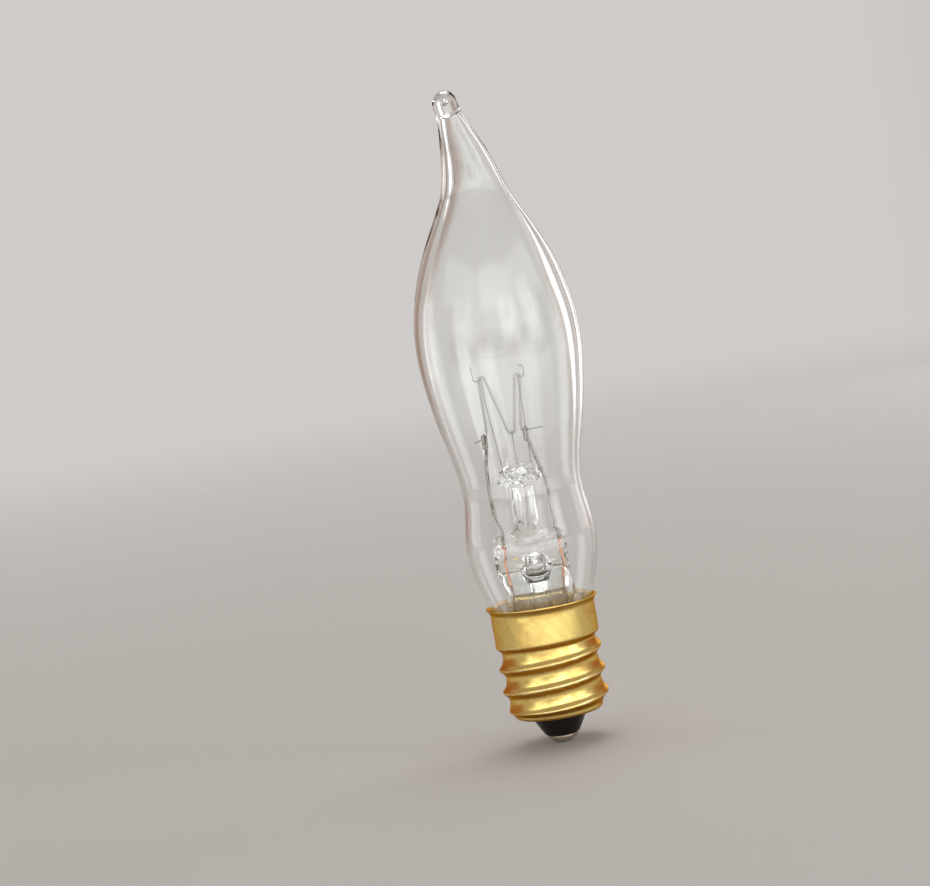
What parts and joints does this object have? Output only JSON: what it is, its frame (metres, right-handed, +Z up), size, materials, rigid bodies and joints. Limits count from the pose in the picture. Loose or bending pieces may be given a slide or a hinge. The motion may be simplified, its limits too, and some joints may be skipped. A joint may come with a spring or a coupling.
{
  "type": "candelabra light bulb",
  "caption": "Clear flame-shaped candelabra bulb with a bent tip, open glass stem with a wire-hung filament, and a rolled brass screw cap.",
  "frame": {"origin": "lowest point of the centre contact, on the lamp's axis", "axes": "+Z up the lamp's axis from the contact to the tip; the bent tip leans towards -X; the glass press, the leads and the filament lie in a plane through the axis turned -60 degrees about Z from +X"},
  "size_m": [0.018, 0.018, 0.0724],
  "materials": {
    "glass": "clear, gloss",
    "stem_glass": "clear, gloss, slightly green",
    "cap_brass": "bright rolled sheet, gloss",
    "nickel": "drawn wire, dull",
    "copper": "copper-clad wire, stands for dumet and copper",
    "tungsten": "coiled filament, matte grey",
    "insulator": "black glass, gloss",
    "solder": "soft solder, satin",
    "cement": "tan basing cement, matte"
  },
  "bodies": {
    "root": {"glass_envelope": "glass", "glass_stem": "stem_glass", "filament": "tungsten", "lead_wire_left": "nickel", "lead_wire_right": "nickel", "support_wire_left": "nickel", "support_wire_middle": "nickel", "support_wire_right": "nickel", "dumet_seal_left": "copper", "dumet_seal_right": "copper", "outer_lead_centre": "copper", "outer_lead_side": "copper", "lead_weld": "solder", "screw_shell": "cap_brass", "basing_cement": "cement", "base_insulator": "insulator", "contact_eyelet": "cap_brass", "contact_solder": "solder"}
  },
  "joints": []
}
